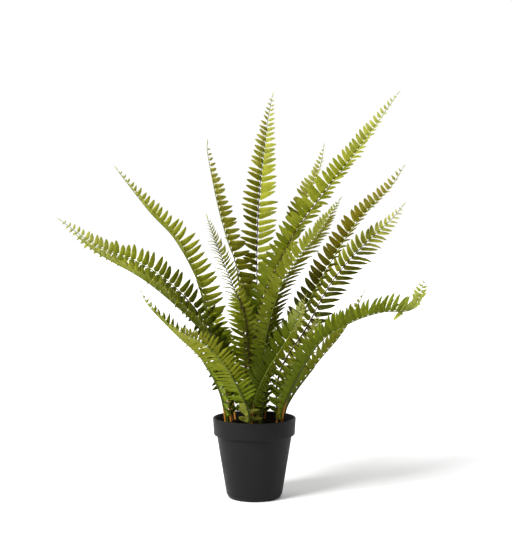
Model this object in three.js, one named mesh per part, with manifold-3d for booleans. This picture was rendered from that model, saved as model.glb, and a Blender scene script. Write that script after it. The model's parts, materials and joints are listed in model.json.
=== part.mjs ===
// A potted Boston fern of the lasting, artificial kind: nineteen wire-cored stalks stand in holes in
// the soil of a plain black pot, and each carries one thin green blade cut into leaflets on both sides.
// Millimetres, +Z up. The origin is the middle of the flat underside of the pot, the front is -Y.

import * as THREE from 'three';
import { mergeVertices } from 'three/addons/utils/BufferGeometryUtils.js';
import Module from 'manifold-3d';

const wasm = await Module();
wasm.setup();

// Pot, turned about its axis
const potHeight = 118;
const rimRadius = 61.5;
const collarHeight = 25;
const collarFootRadius = 60;
const bodyTopRadius = 55.8;
const bodyFootRadius = 41.4;
const baseRadius = 36.5;
const footHeight = 5.5;
const footRound = { out: 2.8, up: 1.1 };
const collarRound = { in: 0.8, low: 0.2, high: 1 };
const wall = 2.6;
const floorThickness = 3;
const potSides = 40;

// Soil, which fills the pot to just under the rim and is a little higher in the middle
const soilTop = 107;
const soilCrown = 4;
const soilShoulder = { share: 0.6, crown: 0.7 };
const soilBottom = floorThickness + 0.3;
const fitGap = 0.6;
const soilSides = 24;

// Stalks
const stalkFootRadius = 2.2;
const stalkEndRadius = 0.9;
const stalkSides = 5;
const stalkStep = 28;
const holeGap = 0.35;
const holeRings = 3;

// Blades
const bladeThickness = 0.9;
const bladeStart = 52;
const ribFootHalfWidth = 1.5;
const ribEndHalfWidth = 0.7;
const seatGap = 0.7;
const pairSpacing = 18.9;
const spacingEase = 0.22;
const ribShare = 0.965;

// Leaflets. Places along a leaflet and heights above it are shares of its length, widths are shares
// of the stretch of rib that it grows from. nearBelly is on the side of the frond's foot.
const leafletForm = { nearBelly: 0.5, farBelly: 0.42, crown: 0.03, bend: 0.1, droop: 0.08 };
const leafletFullness = 0.82;
const widestLeaflet = 0.4;
const tipLeaflet = { length: 0.5, belly: 0.3, halfWidth: 0.17 };
const usualTaper = 0.42;
const taperPower = 0.66;
const footShare = 0.6;
const footRise = 2;
const sweepDegrees = { foot: 6, tip: 34 };
const steepestSweep = 44;

// A leaflet in another frond's way is folded by some of these degrees, and only then made shorter
const clearance = 0.35;
const lengthMargin = 1.03;
const foldTries = [0, 9, -9, 18, -18, 28, -28, 38];
const lengthTries = [1, 0.82, 0.64, 0.46];
const steepestFold = 80;

// Each frond: the points that its midrib passes through, from under the soil to the tip, the way its
// upper side faces, its longest leaflets and the share of the frond that its stalk backs. right and left
// are degrees for the leaflets of each hand, seen from the upper side with the tip up: how far they fold
// up at the blade's foot and at its tip, and how far they lean towards the tip. Names are as seen from
// the front.
const fronds = [
  { name: 'frond_left_long', longest: 30, stalk: 0.5, faces: [0.35, -0.6, 0.75],
    right: [-5, 35, 0], left: [10, 0, -30],
    path: [[-33, 8, 70], [-36, 8, 120], [-48, 8, 187], [-74, 12, 254], [-114, 20, 304],
      [-169, 28, 343], [-237, 38, 370], [-302, 45, 415]] },
  { name: 'frond_left_front', longest: 29, stalk: 0.5, faces: [0.4, -0.45, 0.8],
    right: [10, 10, 0], left: [30, 32, 5],
    path: [[-37, -6, 70], [-40, -8, 119], [-52, -20, 190], [-73, -35, 243], [-109, -52, 282],
      [-158, -68, 324], [-216, -85, 359], [-253, -95, 390]] },
  { name: 'frond_left_high', longest: 29, stalk: 0.55, faces: [0.65, -0.6, 0.5],
    right: [70, 15, -10], left: [5, 45, 10],
    path: [[-31, 21, 70], [-35, 22, 118], [-58, 22, 216], [-75, 18, 283], [-88, 15, 324],
      [-119, 12, 381], [-158, 8, 424], [-209, 0, 491]] },
  { name: 'frond_back_left_tall', longest: 28, stalk: 0.55, faces: [0.72, -0.68, 0.1],
    right: [10, 0, -5], left: [40, 42, 0],
    path: [[-10, 26, 70], [-11, 28, 118], [-17, 40, 244], [-27, 45, 334], [-42, 48, 380],
      [-57, 50, 435], [-72, 50, 513], [-70, 48, 535]] },
  { name: 'frond_inner_short', longest: 24, stalk: 0.6, faces: [0.25, -0.95, 0.2],
    right: [-40, -40, 5], left: [40, 45, 15], taperFrom: 0.26,
    path: [[-3, -4, 70], [-4, -5, 120], [-12, -5, 257], [-29, 0, 305], [-49, 5, 355], [-72, 10, 418]] },
  { name: 'frond_centre_tall', longest: 30, stalk: 0.62, faces: [0.12, -1, 0.25],
    right: [45, 12, 0], left: [40, 32, 0],
    path: [[4, 12, 70], [5, 15, 120], [4, 42, 205], [4, 60, 282], [4, 85, 380], [8, 100, 459],
      [19, 115, 556], [30, 120, 619]] },
  { name: 'frond_right_tall', longest: 31, stalk: 0.5, faces: [-0.55, -0.65, 0.5],
    right: [6, 36, -5], left: [0, 45, 8],
    path: [[-12, 8, 70], [-13, 10, 119], [-2, 22, 222], [14, 32, 290], [59, 55, 383], [112, 75, 457],
      [161, 90, 519], [208, 100, 585], [233, 105, 619]] },
  { name: 'frond_back_right_tall', longest: 27, stalk: 0.55, faces: [-0.7, -0.5, 0.35],
    right: [20, 14, 0], left: [15, 35, 12],
    path: [[14, 28, 70], [16, 30, 119], [33, 75, 288], [64, 105, 388], [88, 125, 457],
      [105, 135, 496], [114, 140, 539]] },
  { name: 'frond_inner_right', longest: 28, stalk: 0.5, faces: [-0.3, 0.85, 0.4],
    right: [-12, 4, 12], left: [8, 22, 25], taperFrom: 0.26,
    path: [[10, -8, 70], [11, -10, 123], [14, -28, 220], [34, -45, 302], [59, -55, 349],
      [91, -65, 389], [124, -75, 442]] },
  { name: 'frond_front_right', longest: 20, stalk: 0.5, faces: [-0.4, -0.75, 0.5],
    right: [20, 20, 0], left: [12, 20, 0],
    path: [[-3, -29, 70], [-3, -33, 121], [2, -42, 152], [19, -60, 193], [34, -74, 219],
      [51, -90, 248], [61, -99, 268], [71, -108, 303]] },
  { name: 'frond_right_sweeping', longest: 29, stalk: 0.5, faces: [-0.55, -0.5, 0.65],
    right: [18, 42, -8], left: [6, 26, 5],
    path: [[7, -21, 70], [9, -23, 122], [20, -32, 174], [43, -38, 225], [67, -38, 268],
      [110, -25, 344], [153, 0, 407], [203, 25, 457], [230, 40, 497]] },
  { name: 'frond_right_slender', longest: 25, stalk: 0.5, faces: [-0.4, -0.8, 0.45],
    right: [-30, -10, 22], left: [4, -8, 12], taperFrom: 0.26,
    path: [[33, 14, 70], [34, 15, 120], [34, 18, 163], [47, 20, 201], [77, 22, 246],
      [115, 20, 315], [159, 15, 368], [202, 8, 409], [225, 0, 436]] },
  { name: 'frond_right_drooping', longest: 27, stalk: 0.5, faces: [-0.25, -0.45, 0.9],
    right: [72, 62, 8], left: [20, 22, 2], taperFrom: 0.18,
    path: [[36, -25, 70], [40, -28, 117], [46, -35, 144], [67, -50, 191], [93, -65, 234],
      [137, -75, 263], [179, -85, 278], [217, -90, 281], [233, -92, 298], [243, -92, 335]] },
  { name: 'frond_right_short', longest: 24, stalk: 0.5, faces: [-0.65, -0.5, 0.55],
    right: [34, 42, -5], left: [30, -5, 8],
    path: [[40, -4, 70], [44, -5, 120], [58, -5, 152], [98, 0, 203], [129, 5, 239],
      [151, 8, 276], [165, 10, 305]] },
  { name: 'frond_right_low', longest: 17, stalk: 0.5, faces: [-0.35, -0.8, 0.4],
    right: [15, 15, 5], left: [15, 15, 5],
    path: [[31, -34, 70], [33, -37, 120], [39, -37, 155], [56, -34, 191], [69, -31, 212],
      [81, -28, 231], [90, -26, 251], [96, -25, 276]] },
  { name: 'frond_left_low', longest: 25, stalk: 0.5, faces: [0.55, -0.5, 0.65],
    right: [-4, 8, -8], left: [32, 38, 5],
    path: [[-40, -16, 70], [-43, -18, 119], [-52, -25, 162], [-78, -40, 209], [-118, -55, 250],
      [-151, -65, 287], [-162, -70, 309]] },
  { name: 'frond_front_low', longest: 27, stalk: 0.5, faces: [-0.3, 0.75, 0.55],
    right: [55, 12, -8], left: [-30, 10, 20],
    path: [[-7, -38, 70], [-7, -42, 123], [-15, -60, 153], [-36, -95, 198], [-64, -130, 235],
      [-91, -155, 254], [-108, -175, 267]] },
  { name: 'frond_back_low', longest: 27, stalk: 0.55, faces: [0.05, -0.5, 0.8],
    right: [22, 22, 0], left: [22, 22, 0],
    path: [[-6, 40, 70], [-6, 44, 118], [-12, 78, 186], [-18, 125, 248], [-24, 175, 286],
      [-28, 222, 300]] },
  { name: 'frond_back_left_low', longest: 26, stalk: 0.55, faces: [0.35, -0.4, 0.8],
    right: [22, 22, 0], left: [22, 22, 0],
    path: [[-27, 33, 70], [-30, 36, 118], [-42, 62, 176], [-58, 100, 228], [-74, 140, 264],
      [-88, 178, 282]] }
];

// Colours and finishes, as sRGB
const finishes = {
  pot: { color: '#2e2e30', roughness: 0.55, metalness: 0 },
  soil: { color: '#1d1712', roughness: 1, metalness: 0 },
  blade: { color: '#5d7d2a', roughness: 0.6, metalness: 0 },
  stalk: { color: '#5a4a22', roughness: 0.65, metalness: 0 }
};

const group = new THREE.Group();

function addMesh(name, geometry, finish) {
  const material = new THREE.MeshStandardMaterial(finish);
  const mesh = new THREE.Mesh(geometry, material);
  mesh.name = name;
  group.add(mesh);
}

// Turned pieces: profile points are [radius, height], and the turning axis ends up along +Z.
function turned(profile, sides) {
  const points = profile.map(([radius, height]) => new THREE.Vector2(radius, height));
  return new THREE.LatheGeometry(points, sides).rotateX(Math.PI / 2);
}

function arcPoints(centreRadius, centreHeight, radius, fromDegrees, toDegrees, steps) {
  const points = [];
  for (let i = 0; i <= steps; i++) {
    const angle = THREE.MathUtils.degToRad(THREE.MathUtils.lerp(fromDegrees, toDegrees, i / steps));
    points.push([centreRadius + radius * Math.cos(angle), centreHeight + radius * Math.sin(angle)]);
  }
  return points;
}

// Radius of the pot's body outside, at a height below the collar
function bodyRadiusAt(height) {
  const share = (height - footHeight) / (potHeight - collarHeight - footHeight);
  return THREE.MathUtils.lerp(bodyFootRadius, bodyTopRadius, share);
}

// The pot's inner wall, from the floor to the lip: straight up to the collar, then a little steeper
const lipHeight = potHeight - wall / 2;
const bendHeight = potHeight - collarHeight - wall;
const innerWall = [
  [bodyRadiusAt(floorThickness) - wall, floorThickness],
  [bodyRadiusAt(bendHeight) - wall, bendHeight],
  [rimRadius - wall, lipHeight]
];

function innerRadiusAt(height) {
  const [low, bend, high] = innerWall;
  const [from, to] = height < bendHeight ? [low, bend] : [bend, high];
  return THREE.MathUtils.mapLinear(height, from[1], to[1], from[0], to[0]);
}

function potGeometry() {
  const collarFoot = potHeight - collarHeight;
  return turned([
    [0, 0],
    [baseRadius, 0],
    [baseRadius + footRound.out, footRound.up],
    [bodyFootRadius, footHeight],
    [bodyTopRadius, collarFoot],
    [collarFootRadius - collarRound.in, collarFoot + collarRound.low],
    [collarFootRadius, collarFoot + collarRound.high],
    ...arcPoints(rimRadius - wall / 2, lipHeight, wall / 2, 0, 180, 4),
    innerWall[1],
    innerWall[0],
    [0, floorThickness]
  ], potSides);
}

// A merged, closed mesh as a solid that can be cut, and back again
function toSolid(geometry) {
  const bare = geometry.clone();
  bare.deleteAttribute('normal');
  bare.deleteAttribute('uv');
  const merged = mergeVertices(bare, 1e-4);
  return new wasm.Manifold(new wasm.Mesh({
    numProp: 3,
    vertProperties: new Float32Array(merged.attributes.position.array),
    triVerts: new Uint32Array(merged.index.array)
  }));
}

function toGeometry(solid) {
  const mesh = solid.getMesh();
  const geometry = new THREE.BufferGeometry();
  geometry.setAttribute('position', new THREE.BufferAttribute(new Float32Array(mesh.vertProperties), 3));
  geometry.setIndex([...mesh.triVerts]);
  geometry.computeVertexNormals();
  return geometry;
}

// Where the midrib runs: a smooth curve with, at any distance along it, its direction (along),
// the way its upper side looks (up) and the way to its right-hand leaflets (side).
function frondRun(frond) {
  const points = frond.path.map((point) => new THREE.Vector3(...point));
  const curve = new THREE.CatmullRomCurve3(points, false, 'catmullrom', 0.5);
  curve.arcLengthDivisions = 400;
  const length = curve.getLength();
  const faces = new THREE.Vector3(...frond.faces);
  const at = (distance) => {
    const share = THREE.MathUtils.clamp(distance / length, 0, 1);
    const point = curve.getPointAt(share);
    const along = curve.getTangentAt(share).normalize();
    const up = faces.clone().addScaledVector(along, -faces.dot(along)).normalize();
    const side = new THREE.Vector3().crossVectors(along, up);
    return { point, along, up, side };
  };
  return { length, at };
}

function stalkRadiusAt(distance, length) {
  return THREE.MathUtils.lerp(stalkFootRadius, stalkEndRadius, distance / length);
}

function offset(point, ...moves) {
  const moved = point.clone();
  for (const [direction, amount] of moves) {
    moved.addScaledVector(direction, amount);
  }
  return moved;
}

// A closed body from points and triangles
function bodyGeometry(points, triangles) {
  const geometry = new THREE.BufferGeometry();
  const numbers = points.flatMap((point) => [point.x, point.y, point.z]);
  geometry.setAttribute('position', new THREE.Float32BufferAttribute(numbers, 3));
  geometry.setIndex(triangles.flat());
  geometry.computeVertexNormals();
  return geometry;
}

// A tube of flat-sided rings, closed at both ends. Each ring is { centre, up, side, radius }.
function ringTube(rings, sides) {
  const points = [];
  const triangles = [];
  rings.forEach((ring, row) => {
    for (let i = 0; i < sides; i++) {
      const angle = (i + 0.5) * 2 * Math.PI / sides;
      points.push(offset(ring.centre, [ring.up, ring.radius * Math.cos(angle)],
        [ring.side, ring.radius * Math.sin(angle)]));
      if (row > 0) {
        const a = (row - 1) * sides + i;
        const b = (row - 1) * sides + (i + 1) % sides;
        triangles.push([a, b, a + sides], [b, b + sides, a + sides]);
      }
    }
  });
  const last = points.length - sides;
  for (let i = 1; i < sides - 1; i++) {
    triangles.push([0, i + 1, i], [last, last + i, last + i + 1]);
  }
  return { points, triangles };
}

function stalkRings(run, length, widen) {
  const steps = Math.round(length / stalkStep);
  const rings = [];
  for (let i = 0; i <= steps; i++) {
    const distance = length * i / steps;
    const { point, up, side } = run.at(distance);
    rings.push({ centre: point, up, side, radius: stalkRadiusAt(distance, length) + widen });
  }
  return rings;
}

// The hole is the buried stalk made a little wider and longer, and runs on out of the soil.
function holeSolid(run, length) {
  const rings = stalkRings(run, length, holeGap).slice(0, holeRings);
  const { along } = run.at(0);
  rings[0].centre = offset(rings[0].centre, [along, -holeGap]);
  const { points, triangles } = ringTube(rings, stalkSides);
  return toSolid(bodyGeometry(points, triangles));
}

function soilGeometry(holes) {
  const edge = innerRadiusAt(soilTop) - fitGap;
  const body = turned([
    [0, soilBottom],
    [innerRadiusAt(soilBottom) - fitGap, soilBottom],
    [innerRadiusAt(bendHeight) - fitGap, bendHeight],
    [edge, soilTop],
    [edge * soilShoulder.share, soilTop + soilCrown * soilShoulder.crown],
    [0, soilTop + soilCrown]
  ], soilSides);
  let solid = toSolid(body);
  for (const hole of holes) {
    solid = solid.subtract(hole);
  }
  return toGeometry(solid);
}

// Share of its full length that a leaflet has, from the foot of the blade (0) to its tip (1)
function leafletShare(frond, share) {
  const taperFrom = frond.taperFrom ?? usualTaper;
  const towardsTip = Math.min(1, Math.pow((1 - share) / taperFrom, taperPower));
  const towardsFoot = Math.min(1, footShare + footRise * share);
  return towardsTip * towardsFoot;
}

function leafletSweep(share, lean) {
  const usual = THREE.MathUtils.lerp(sweepDegrees.foot, sweepDegrees.tip, share * share);
  return THREE.MathUtils.degToRad(Math.min(usual + lean, steepestSweep));
}

// Do any edges of one small body pass through the faces of another?
const ray = new THREE.Ray();
const hit = new THREE.Vector3();

function edgesPierce(one, other) {
  for (const [a, b] of one.edges) {
    const start = one.points[a];
    const reach = start.distanceTo(one.points[b]);
    ray.origin.copy(start);
    ray.direction.subVectors(one.points[b], start).divideScalar(reach);
    for (const [i, j, k] of other.triangles) {
      const { points } = other;
      if (ray.intersectTriangle(points[i], points[j], points[k], false, hit)
        && hit.distanceTo(start) < reach) {
        return true;
      }
    }
  }
  return false;
}

function smallBody(points, triangles) {
  const edges = new Map();
  for (const [i, j, k] of triangles) {
    for (const [a, b] of [[i, j], [j, k], [k, i]]) {
      edges.set(Math.min(a, b) * points.length + Math.max(a, b), [a, b]);
    }
  }
  return { points, triangles, edges: [...edges.values()], box: new THREE.Box3().setFromPoints(points) };
}

function isClear(body, obstacles) {
  return !obstacles.some((other) => body.box.intersectsBox(other.box)
    && (edgesPierce(body, other) || edgesPierce(other, body)));
}

// The six points of a leaflet's outline beyond the rib, three on its upper face and three below,
// for the stretch of rib between two cross-sections
function leafletPoints(from, to, hand, { fold, lean, length, thickness }) {
  const root = offset(from.edge[hand], [to.edge[hand].clone().sub(from.edge[hand]), 0.5]);
  const width = from.point.distanceTo(to.point);
  const sweep = leafletSweep(from.share, lean);
  const outward = new THREE.Vector3().addScaledVector(from.side, hand * Math.cos(fold))
    .addScaledVector(from.up, Math.sin(fold));
  const reach = outward.clone().multiplyScalar(Math.cos(sweep))
    .addScaledVector(from.along, Math.sin(sweep)).normalize();
  const face = new THREE.Vector3().crossVectors(from.along, outward).multiplyScalar(-hand).normalize();
  const across = new THREE.Vector3().crossVectors(face, reach).multiplyScalar(hand).normalize();
  const halfWidth = Math.min(width * leafletFullness, length * widestLeaflet);
  const { nearBelly, farBelly, crown, bend, droop } = leafletForm;
  const middle = [
    offset(root, [reach, length * nearBelly], [across, -halfWidth], [face, length * crown]),
    offset(root, [reach, length], [across, length * bend], [face, -length * droop]),
    offset(root, [reach, length * farBelly], [across, halfWidth], [face, length * crown])
  ];
  const half = thickness / 2;
  return middle.map((point) => [offset(point, [face, half]), offset(point, [face, -half])]);
}

// Triangles of one leaflet, given the numbers of its upper and lower points in outline order:
// near foot of the base, near belly, tip, far belly, far foot
function leafletTriangles(upper, lower, hand) {
  const [a, b, c, d, e] = [0, 1, 2, 3, 4];
  const faces = [[a, b, d], [a, d, e], [b, c, d]];
  const triangles = [];
  for (const [i, j, k] of faces) {
    triangles.push([upper[i], upper[j], upper[k]], [lower[i], lower[k], lower[j]]);
  }
  for (let i = 0; i < 4; i++) {
    triangles.push([upper[i], lower[i], lower[i + 1]], [upper[i], lower[i + 1], upper[i + 1]]);
  }
  return hand > 0 ? triangles : triangles.map(([i, j, k]) => [i, k, j]);
}

// Cross-sections of the rib where leaflets begin and end, closer together towards the tip
function ribSections(frond, run) {
  const length = run.length - bladeStart;
  const pairs = Math.round(length / pairSpacing);
  const stalkLength = run.length * frond.stalk;
  const sections = [];
  for (let i = 0; i <= pairs * 2; i++) {
    const even = i / (pairs * 2);
    const share = even + spacingEase * even * (1 - even);
    const distance = bladeStart + length * ribShare * share;
    const { point, along, up, side } = run.at(distance);
    const rise = stalkRadiusAt(Math.min(distance, stalkLength), stalkLength) + seatGap;
    const halfWidth = THREE.MathUtils.lerp(ribFootHalfWidth, ribEndHalfWidth, share);
    const centre = offset(point, [up, rise + bladeThickness / 2]);
    const edge = { 1: offset(centre, [side, halfWidth]), [-1]: offset(centre, [side, -halfWidth]) };
    sections.push({ point: centre, along, up, side, edge, share });
  }
  return sections;
}

// The corners of the rib's cross-section: upper right, upper left, lower left, lower right
function ribCorners({ edge, up }) {
  const half = bladeThickness / 2;
  return [offset(edge[1], [up, half]), offset(edge[-1], [up, half]),
    offset(edge[-1], [up, -half]), offset(edge[1], [up, -half])];
}

function ribPieces(sections) {
  const box = [[0, 1, 5], [0, 5, 4], [1, 2, 6], [1, 6, 5], [2, 3, 7], [2, 7, 6], [3, 0, 4], [3, 4, 7]];
  return sections.slice(1).map((section, i) =>
    smallBody([...ribCorners(sections[i]), ...ribCorners(section)], box));
}

function stalkPieces(run, length) {
  const rings = stalkRings(run, length, 0);
  return rings.slice(1).map((ring, i) => {
    const { points, triangles } = ringTube([rings[i], ring], stalkSides);
    return smallBody(points, triangles);
  });
}

// The corners of the rib's cross-section that a leaflet grows from: [upper, lower]
const rootCorners = { 1: [0, 3], [-1]: [1, 2] };

// The fullest leaflet that stays clear of everything placed before it, or null where none does
function fittedLeaflet(frond, from, to, hand, obstacles) {
  const full = frond.longest * leafletShare(frond, from.share);
  const [foldFoot, foldTip, lean] = hand > 0 ? frond.right : frond.left;
  const usualFold = THREE.MathUtils.lerp(foldFoot, foldTip, from.share);
  const [nearTop, nearLow] = rootCorners[hand].map((corner) => ribCorners(from)[corner]);
  const [farTop, farLow] = rootCorners[hand].map((corner) => ribCorners(to)[corner]);
  for (const lengthShare of lengthTries) {
    for (const extra of foldTries) {
      const fold = THREE.MathUtils.degToRad(Math.min(usualFold + extra, steepestFold));
      const leaflet = { fold, lean, length: full * lengthShare, thickness: bladeThickness };
      const roomLength = leaflet.length * lengthMargin;
      const room = { ...leaflet, length: roomLength, thickness: bladeThickness + 2 * clearance };
      const [near, tip, far] = leafletPoints(from, to, hand, room);
      const points = [nearTop, near[0], tip[0], far[0], farTop, nearLow, near[1], tip[1], far[1], farLow];
      const body = smallBody(points, leafletTriangles([0, 1, 2, 3, 4], [5, 6, 7, 8, 9], hand));
      if (isClear(body, obstacles)) {
        return { body, outline: leafletPoints(from, to, hand, leaflet) };
      }
    }
  }
  return null;
}

// One blade: a flat rib with a leaflet on every stretch, right and left in turn, and one at the tip
function bladeGeometry(frond, sections, obstacles) {
  const points = sections.flatMap((section) => ribCorners(section));
  const triangles = [[0, 1, 2], [0, 2, 3]];
  sections.slice(1).forEach((to, i) => {
    const from = sections[i];
    const hand = i % 2 === 0 ? 1 : -1;
    const near = i * 4;
    const far = near + 4;
    const addSide = (a, b) => {
      triangles.push([near + a, far + a, far + b], [near + a, far + b, near + b]);
    };
    addSide(0, 1);
    addSide(2, 3);
    addSide(...(hand > 0 ? [1, 2] : [3, 0]));
    const fitted = fittedLeaflet(frond, from, to, hand, obstacles);
    if (fitted === null) {
      addSide(...(hand > 0 ? [3, 0] : [1, 2]));
      return;
    }
    const [top, low] = rootCorners[hand];
    const first = points.length;
    points.push(...fitted.outline.flat());
    const upper = [near + top, first, first + 2, first + 4, far + top];
    const lower = [near + low, first + 1, first + 3, first + 5, far + low];
    triangles.push(...leafletTriangles(upper, lower, hand));
    obstacles.push(fitted.body);
  });
  addTipLeaflet(frond, sections[sections.length - 1], (sections.length - 1) * 4, points, triangles);
  return bodyGeometry(points, triangles);
}

function addTipLeaflet(frond, section, corner, points, triangles) {
  const length = frond.longest * tipLeaflet.length;
  const belly = length * tipLeaflet.belly;
  const halfWidth = length * tipLeaflet.halfWidth;
  const half = bladeThickness / 2;
  const middle = [
    offset(section.point, [section.along, belly], [section.side, halfWidth]),
    offset(section.point, [section.along, length]),
    offset(section.point, [section.along, belly], [section.side, -halfWidth])
  ];
  const first = points.length;
  for (const point of middle) {
    points.push(offset(point, [section.up, half]), offset(point, [section.up, -half]));
  }
  const upper = [corner, first, first + 2, first + 4, corner + 1];
  const lower = [corner + 3, first + 1, first + 3, first + 5, corner + 2];
  triangles.push(...leafletTriangles(upper, lower, 1));
}

const runs = fronds.map((frond) => frondRun(frond));
const stalkLengths = fronds.map((frond, i) => runs[i].length * frond.stalk);
const sectionsOf = fronds.map((frond, i) => ribSections(frond, runs[i]));

addMesh('pot', potGeometry(), finishes.pot);
addMesh('soil', soilGeometry(fronds.map((frond, i) => holeSolid(runs[i], stalkLengths[i]))), finishes.soil);

fronds.forEach((frond, i) => {
  const { points, triangles } = ringTube(stalkRings(runs[i], stalkLengths[i], 0), stalkSides);
  addMesh(`${frond.name}_stalk`, bodyGeometry(points, triangles), finishes.stalk);
});

const allStalks = fronds.flatMap((frond, i) => stalkPieces(runs[i], stalkLengths[i]));
const allRibs = sectionsOf.map((sections) => ribPieces(sections));
const allLeaflets = [];

fronds.forEach((frond, i) => {
  const otherRibs = allRibs.filter((pieces, other) => other !== i).flat();
  const obstacles = [...allStalks, ...otherRibs, ...allLeaflets];
  const before = obstacles.length;
  addMesh(`${frond.name}_blade`, bladeGeometry(frond, sectionsOf[i], obstacles), finishes.blade);
  allLeaflets.push(...obstacles.slice(before));
});

export default group;
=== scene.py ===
import bisect
import json
import math
import random

import bpy
from mathutils import Matrix, Quaternion, Vector
from mathutils.bvhtree import BVHTree

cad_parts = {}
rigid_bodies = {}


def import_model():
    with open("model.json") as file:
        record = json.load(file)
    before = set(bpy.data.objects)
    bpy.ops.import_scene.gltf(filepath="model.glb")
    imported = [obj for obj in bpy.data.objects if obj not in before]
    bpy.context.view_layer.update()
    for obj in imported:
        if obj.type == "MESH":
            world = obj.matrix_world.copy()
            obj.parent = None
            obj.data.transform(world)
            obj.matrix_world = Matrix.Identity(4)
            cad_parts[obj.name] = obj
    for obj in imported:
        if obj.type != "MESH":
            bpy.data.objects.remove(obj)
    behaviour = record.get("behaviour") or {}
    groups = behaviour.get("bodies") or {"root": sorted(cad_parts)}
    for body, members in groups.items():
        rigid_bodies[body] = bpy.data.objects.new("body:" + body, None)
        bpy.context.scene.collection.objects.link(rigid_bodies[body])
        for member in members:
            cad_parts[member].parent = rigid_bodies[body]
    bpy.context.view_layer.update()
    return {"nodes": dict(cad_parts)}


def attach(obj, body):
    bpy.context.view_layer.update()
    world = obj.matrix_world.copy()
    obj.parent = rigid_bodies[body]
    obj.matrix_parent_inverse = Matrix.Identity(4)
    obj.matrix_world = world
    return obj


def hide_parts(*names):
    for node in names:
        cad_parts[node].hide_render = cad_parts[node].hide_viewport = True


# A potted Boston fern of the lasting kind: moulded fronds on wire-cored stalks in a black plastic pot.
# Sizes in the dictionaries are millimetres and become metres where points are made.

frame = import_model()
mm = 0.001
print("frame loaded:", len(frame["nodes"]), "nodes")


# Small helpers for meshes and node trees

def linkedObject(name, mesh):
    piece = bpy.data.objects.new(name, mesh)
    bpy.context.scene.collection.objects.link(piece)
    return piece


def meshObject(name, points, faces=(), material=None, edges=()):
    mesh = bpy.data.meshes.new(name)
    mesh.from_pydata([tuple(point) for point in points], edges, faces)
    mesh.polygons.foreach_set("use_smooth", [True] * len(mesh.polygons))
    if material:
        mesh.materials.append(material)
    return linkedObject(name, mesh)


def storeValues(piece, name, values, kind="FLOAT", domain="POINT"):
    attribute = piece.data.attributes.new(name, kind, domain)
    if kind == "FLOAT_VECTOR":
        attribute.data.foreach_set("vector", [number for value in values for number in value])
    else:
        attribute.data.foreach_set("value", values)


def feed(tree, socket, value):
    if isinstance(value, bpy.types.NodeSocket):
        tree.links.new(value, socket)
    else:
        socket.default_value = value


def addNode(tree, kind, inputs=None, **settings):
    node = tree.nodes.new(kind)
    for key, value in settings.items():
        setattr(node, key, value)
    for key, value in (inputs or {}).items():
        feed(tree, node.inputs[key], value)
    return node


def outputOf(tree, kind, inputs=None, output=0, **settings):
    return addNode(tree, kind, inputs, **settings).outputs[output]


def calc(tree, operation, *values, clamp=False):
    node = addNode(tree, "ShaderNodeMath", operation=operation, use_clamp=clamp)
    for socket, value in zip(node.inputs, values):
        feed(tree, socket, value)
    return node.outputs[0]


def spread(tree, value, low, high, outLow=0.0, outHigh=1.0):
    inputs = {"Value": value, "From Min": low, "From Max": high, "To Min": outLow, "To Max": outHigh}
    return outputOf(tree, "ShaderNodeMapRange", inputs, interpolation_type="SMOOTHSTEP")


def mixColours(tree, share, low, high):
    return outputOf(tree, "ShaderNodeMix", {0: share, 6: low, 7: high}, 2, data_type="RGBA")


def attributeValue(tree, name):
    return outputOf(tree, "ShaderNodeAttribute", output="Fac", attribute_name=name)


# A colour as it is seen, 0 to 255, turned into the light values that shaders use
def seen(red, green, blue):
    def light(level):
        part = level / 255
        return part / 12.92 if part <= 0.04045 else ((part + 0.055) / 1.055) ** 2.4
    return (light(red), light(green), light(blue), 1.0)


# A node group: its inputs are numbers, given as they are to start with, or the kind of another socket
def newGroup(name, kind, inputs, output, outputKind="Float"):
    tree = bpy.data.node_groups.new(name, kind + "NodeTree")
    tree.interface.new_socket(output, in_out="OUTPUT", socket_type="NodeSocket" + outputKind)
    for label, value in inputs.items():
        inputKind = value if isinstance(value, str) else type(value).__name__.capitalize()
        socket = tree.interface.new_socket(label, in_out="INPUT", socket_type="NodeSocket" + inputKind)
        if inputKind != value:
            socket.default_value = value
    return tree, tree.nodes.new("NodeGroupInput").outputs, tree.nodes.new("NodeGroupOutput").inputs


# Shader groups shared by several materials

def objectNoise(tree, scale, detail):
    place = outputOf(tree, "ShaderNodeTexCoord", output="Object")
    return outputOf(tree, "ShaderNodeTexNoise", {"Vector": place, "Scale": scale, "Detail": detail}, "Fac")


# Soft uneven patches, from 0 to 1
def makeMottle():
    tree, given, end = newGroup("mottle", "Shader", {"Scale": 30.0, "Sharpness": 0.2}, "Mask")
    low = calc(tree, "SUBTRACT", 0.5, given["Sharpness"])
    high = calc(tree, "ADD", 0.5, given["Sharpness"])
    feed(tree, end["Mask"], spread(tree, objectNoise(tree, given["Scale"], 3.0), low, high))
    return tree


# The fine moulded grain of plastic, as a height
def makeGrain():
    tree, given, end = newGroup("grain", "Shader", {"Scale": 900.0, "Amount": 1.0}, "Height")
    noise = objectNoise(tree, given["Scale"], 2.0)
    feed(tree, end["Height"], calc(tree, "MULTIPLY", noise, given["Amount"]))
    return tree


mottle = makeMottle()
grain = makeGrain()


def mottled(tree, scale, sharpness):
    return outputOf(tree, "ShaderNodeGroup", {"Scale": scale, "Sharpness": sharpness}, node_tree=mottle)


def grained(tree, scale, amount=1.0):
    return outputOf(tree, "ShaderNodeGroup", {"Scale": scale, "Amount": amount}, node_tree=grain)


def newMaterial(name, principled):
    material = bpy.data.materials.new(name)
    material.use_nodes = True
    tree = material.node_tree
    shader = tree.nodes["Principled BSDF"]
    for key, value in principled.items():
        shader.inputs[key].default_value = value
    return material, tree, shader


# Gives a shader its colour and a bump, which has a strength and a depth in metres
def paintShader(tree, shader, colour, height, bump):
    feed(tree, shader.inputs["Base Color"], colour)
    inputs = {"Height": height, "Strength": bump[0], "Distance": bump[1]}
    feed(tree, shader.inputs["Normal"], outputOf(tree, "ShaderNodeBump", inputs, "Normal"))


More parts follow.
